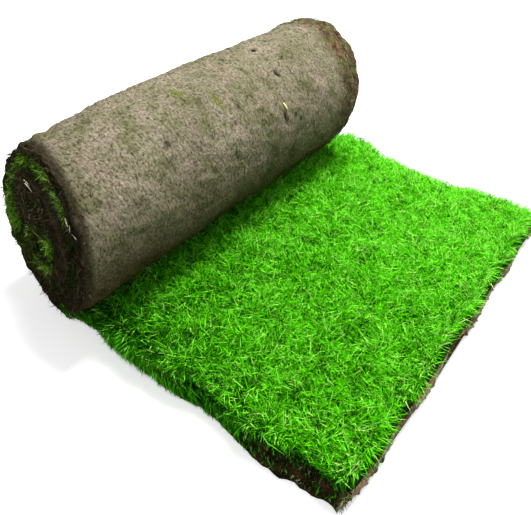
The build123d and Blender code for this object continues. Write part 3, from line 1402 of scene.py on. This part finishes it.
@dataclass
class CutRoots:
    """Fine roots that stand out of the soil's cut sides on the flap and hang down them."""

    strip: Strip
    count: int = 3600
    seed: int = 500
    lengths: tuple[float, float] = (0.004, 0.014)
    widths: tuple[float, float] = (0.0005, 0.0011)
    proud: float = 0.0006

    def build(self, finish: bpy.types.Material) -> bpy.types.Object:
        """Builds the roots, a quarter of them along the near side and the rest along the cut end.

        A root leaves the sloping side at its height above the floor and runs down it, with a
        little chance sideways.

        Args:
            finish: the fibre material.

        Returns:
            The finished object.
        """
        rng = np.random.default_rng(self.seed)
        strip, count = self.strip, self.count
        on_end = np.arange(count) % 4 > 0
        high = rng.uniform(0.004, strip.soil + 0.006, count)
        ahead = np.where(on_end, strip.flap, strip.flap * rng.random(count) ** 0.6)
        along = strip.flap - ahead
        x = strip.home_x + ahead
        level = np.full(count, strip.soil)
        near = strip.side(along, x, level, End.NEAR)
        far = strip.side(along, x, level, End.FAR)
        rise = np.clip(high / strip.soil, 0.0, 1.2)
        slope = strip.recess(along) * rise - strip.foot(along) * (1.0 - rise)
        y = np.where(on_end, near + (far - near) * rng.random(count), near + slope - self.proud)
        x = np.where(on_end, x + strip.cut_end(y) + self.proud, x)
        sideways = rng.normal(0.0, 0.65, count)
        zero = np.zeros(count)
        end_share, side_share = on_end.astype(float), 1.0 - on_end
        outward = np.stack([end_share, -side_share, zero], axis=-1)
        level_way = np.stack([side_share, end_share, zero], axis=-1)
        spread = (strip.recess(along) + strip.foot(along)) / strip.soil
        down = np.array([0.0, 0.0, -1.0]) + outward * (np.where(on_end, 0.0, spread) + 0.08)[:, None]
        heading = unit(down + level_way * sideways[:, None])
        bend = level_way * rng.normal(0.0, 0.25, count)[:, None]
        bend = bend + outward * rng.normal(0.0, 0.06, count)[:, None]
        length = np.minimum(rng.uniform(*self.lengths, count), high)
        width = rng.uniform(*self.widths, count)
        tint = np.clip(np.where(on_end, 0.66, 0.06) + rng.normal(0.0, 0.18, count), 0.0, 0.92)
        tint = np.where(rng.random(count) < 0.07, 0.80, tint)
        roots = np.stack([x, y, high], axis=-1)
        return Blades(roots, heading, bend, length, width, tint).build("cut_roots", finish, "soil")


@dataclass
class LooseBits:
    """The few roots and the straw chip that are long or pale enough to be seen one by one."""

    strip: Strip

    def build(self, finish: bpy.types.Material) -> bpy.types.Object:
        """Builds the bits from a table: place, way, bend, length and width, and tint.

        Places, lengths and widths are in mm, from the line under the roll's axis, the strip's
        middle line and the floor. The last bit is the straw chip.

        Args:
            finish: the fibre material.

        Returns:
            The finished object.
        """
        table = np.array([
            [-20, -306, 222, 1.0, -0.1, 0.30, 0.0, 0.0, -0.70, 16, 1.6, 0.84],
            [-22, -305, 226, 1.0, -0.1, 0.10, 0.0, 0.0, -0.30, 15, 0.7, 0.78],
            [72, -312, 214, 0.5, -0.3, -0.8, 0.2, 0.0, 0.3, 13, 1.5, 0.76],
            [79, -313, 207, 0.2, -0.3, -0.9, 0.3, -0.2, 0.2, 9, 1.1, 0.72],
            [84, -316, 199, 1.0, -0.2, 0.2, 0.0, 0.0, -0.2, 16, 0.9, 0.70],
            [80, -314, 203, -0.9, -0.4, -0.5, 0.0, 0.0, -0.3, 16, 1.0, 0.74],
            [98, -319, 172, -0.1, -0.1, -1.0, -0.05, 0.0, 0.0, 40, 1.3, 0.72],
            [93, -325, 135, 0.1, -0.1, -1.0, 0.3, 0.0, 0.0, 26, 1.1, 0.66],
            [47, -323, 168, 0.5, -0.3, -0.5, 0.4, 0.0, -0.2, 18, 1.0, 0.66],
            [88, 82, 218.5, 0.75, 0.05, -0.80, 0.03, 0.0, 0.03, 13, 4.2, 0.93],
        ])
        roots = 0.001 * table[:, 0:3] + np.array([self.strip.home_x, self.strip.home_y, 0.0])
        length, width = 0.001 * table[:, 9], 0.001 * table[:, 10]
        blades = Blades(roots, unit(table[:, 3:6]), table[:, 6:9], length, width, table[:, 11], twist=0.02)
        return blades.build("loose_bits", finish, "soil")


@dataclass
class RootFelt:
    """Fine roots that lie on the outer face of the roll and run mostly round it."""

    strip: Strip
    count: int = 12000
    seed: int = 300
    lengths: tuple[float, float] = (0.003, 0.009)
    widths: tuple[float, float] = (0.0004, 0.0009)
    covered: float = 0.9

    def build(self, finish: bpy.types.Material) -> bpy.types.Object:
        """Builds the roots as short ribbons just proud of the soil's outer face.

        Args:
            finish: the fibre material.

        Returns:
            The finished object.
        """
        rng = np.random.default_rng(self.seed)
        strip, count = self.strip, self.count
        start = strip.flap + strip.flat + 0.03
        end = start + 2.0 * math.pi * strip.first_radius * self.covered
        along = rng.uniform(start, end, count)
        x, z, inward_x, inward_z = strip.place(along, np.zeros(count))
        near = strip.side(along, x, z, End.NEAR)
        far = strip.side(along, x, z, End.FAR)
        at_rim = rng.random(count) < 0.20
        y = np.where(at_rim, far - rng.uniform(0.0, 0.045, count), near + (far - near) * rng.random(count))
        worn = sum(strip.rim_wear(along, strip.facing(x, z), y - near, far - y))
        worn = worn - SoilMat(strip).relief(along, y) * ease(z, 0.002, 0.030)
        outward = np.stack([-inward_x, np.zeros(count), -inward_z], axis=-1)
        turned = np.stack([inward_z, np.zeros(count), -inward_x], axis=-1)
        dark = rng.random(count) < 0.022
        skew = rng.normal(0.0, 0.8, count)
        either_way = rng.choice([-1.0, 1.0], count)[:, None]
        heading = unit(turned * either_way + skew[:, None] * np.array([0.0, 1.0, 0.0]))
        bend = rng.normal(0.0, 0.3, (count, 3)) - 0.10 * outward
        length = rng.uniform(*self.lengths, count) * np.where(dark, 2.6, 1.0)
        proud = rng.uniform(0.0006, 0.0018, count) + at_rim * rng.uniform(0.0, 0.0015, count) - worn
        roots = np.stack([x, y, z], axis=-1) + outward * proud[:, None]
        width = rng.uniform(*self.widths, count)
        # Painted shade: the roots are darker low on the roll and by the near rim, as the soil under them is.
        tint = np.clip(rng.beta(1.4, 1.9, count) * (0.45 + 0.4 * ease(z, 0.05, 0.2)), 0.0, 0.85)
        tint = tint * (0.3 + 0.7 * ease(y - near, 0.015, 0.045))
        tint = np.where(dark, 0.02, np.where(rng.random(count) < 0.03, 0.99, tint))
        return Blades(roots, heading, bend, length, width, tint).build("root_felt", finish, "soil")


# Stage


@dataclass(frozen=True)
class Stage:
    """Pale floor, soft light and the camera at the photograph's angle.

    Places and lengths are in metres and angles in radians, but the sensor's width is in millimetres.
    """

    strip: Strip
    eye: tuple[float, float, float] = (0.554, -0.519, 0.564)
    yaw: float = 0.704
    pitch: float = 0.727
    roll: float = -0.021
    focal_pixels: float = 499.6
    sensor_width: float = 36.0
    floor_half: float = 6.0
    floor_drop: float = 0.0005
    aim: tuple[float, float, float] = (0.0, 0.0, 0.08)

    def camera(self) -> bpy.types.Object:
        """Sets the camera: forward is turned by yaw from +Y to -X and dips by pitch.

        Returns:
            The camera.
        """
        data = bpy.data.cameras.new("camera")
        data.sensor_fit = "HORIZONTAL"
        data.sensor_width = self.sensor_width
        data.lens = self.focal_pixels * data.sensor_width / PICTURE_WIDTH
        data.clip_start, data.clip_end = 0.02, 20.0
        level = math.cos(self.pitch)
        forward = Vector((-math.sin(self.yaw) * level, math.cos(self.yaw) * level, -math.sin(self.pitch)))
        right = Vector((math.cos(self.yaw), math.sin(self.yaw), 0.0))
        up = right.cross(forward)
        tilted_right = math.cos(self.roll) * right + math.sin(self.roll) * up
        tilted_up = -math.sin(self.roll) * right + math.cos(self.roll) * up
        turn = Matrix((tilted_right, tilted_up, -forward)).transposed().to_4x4()
        shift = Vector((self.strip.home_x, self.strip.home_y, 0.0))
        camera = bpy.data.objects.new("camera", data)
        camera.matrix_world = Matrix.Translation(Vector(self.eye) + shift) @ turn
        bpy.context.scene.collection.objects.link(camera)
        bpy.context.scene.camera = camera
        return camera

    def floor(self) -> bpy.types.Object:
        """Lays the floor, which the camera sees as white apart from the object's shadow.

        Returns:
            The floor.
        """
        half, top = self.floor_half, -self.floor_drop
        places = np.array([[-half, -half, top], [half, -half, top], [half, half, top], [-half, half, top]])
        piece = lay_mesh("floor", places, np.arange(4), np.array([4]))
        material, tree, shader = blank("pale_floor")
        shader.inputs["Base Color"].default_value = (0.82, 0.82, 0.82, 1.0)
        shader.inputs["Roughness"].default_value = 0.9
        shader.inputs["Specular IOR Level"].default_value = 0.0
        shader.inputs["Emission Color"].default_value = (1.0, 1.0, 1.0, 1.0)
        rays = node(tree, "ShaderNodeLightPath")
        seen = node(tree, "ShaderNodeMath", operation="MULTIPLY")
        tree.links.new(rays.outputs["Is Camera Ray"], seen.inputs[0])
        seen.inputs[1].default_value = 0.5
        tree.links.new(seen.outputs[0], shader.inputs["Emission Strength"])
        piece.data.materials.append(material)
        piece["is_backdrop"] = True
        return piece

    def lamp(self, name: str, place: tuple[float, float, float], size: float, power: float) -> None:
        """Hangs one square lamp that looks at the middle of the object.

        Args:
            name: the lamp's name.
            place: where it hangs.
            size: length of its side.
            power: its power in watts.
        """
        data = bpy.data.lights.new(name, "AREA")
        data.size, data.energy = size, power
        lamp = bpy.data.objects.new(name, data)
        aim = Vector(self.aim) - Vector(place)
        lamp.matrix_world = Matrix.Translation(place) @ aim.to_track_quat("-Z", "Y").to_matrix().to_4x4()
        bpy.context.scene.collection.objects.link(lamp)

    def light(self) -> None:
        """Sets a key lamp from behind on the right, a weak fill, and a plain white sky."""
        self.lamp("key", place=(-0.1, 0.8, 2.1), size=0.9, power=92.0)
        self.lamp("fill", place=(0.9, -1.4, 1.6), size=1.6, power=5.0)
        world = bpy.data.worlds.new("sky")
        world.use_nodes = True
        tree = world.node_tree
        back = tree.nodes["Background"]
        rays = node(tree, "ShaderNodeLightPath")
        strength = node(tree, "ShaderNodeMapRange", From_Min=0.0, From_Max=1.0, To_Min=0.50, To_Max=1.0)
        tree.links.new(rays.outputs["Is Camera Ray"], strength.inputs["Value"])
        tree.links.new(strength.outputs["Result"], back.inputs["Strength"])
        back.inputs["Color"].default_value = (1.0, 1.0, 1.0, 1.0)
        bpy.context.scene.world = world


def main() -> None:
    """Builds the strip layer by layer, then the stage, and works out the boxes of the CAD parts and of the
    dressed scene.
    """
    logging.basicConfig(level=logging.INFO, format="%(message)s")
    strip = Strip()
    grass, pressed, fibre = GRASS.build(), PRESSED.build(), FIBRE.build()
    pieces = [SoilMat(strip).build(), Thatch(strip).build()]
    pieces += FlapGrass(strip).build(grass)
    pieces.append(HangingGrass(strip).build(grass))
    pieces += [RollGrass(strip, end).build(pressed) for end in End]
    pieces += [kind(strip).build(fibre) for kind in (EndRoots, CutRoots, LooseBits, RootFelt)]
    for piece in pieces:
        piece.data.calc_loop_triangles()
        LOG.info("%s: %d triangles", piece.name, len(piece.data.loop_triangles))
    stage = Stage(strip)
    stage.floor()
    stage.camera()
    stage.light()
    bpy.context.scene.view_settings.view_transform = "Standard"
    boxes = {"cad": CAD_BOX, "dressed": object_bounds()}
    {key: [list(map(float, corner)) for corner in box] for key, box in boxes.items()}


if __name__ == "__main__":
    main()
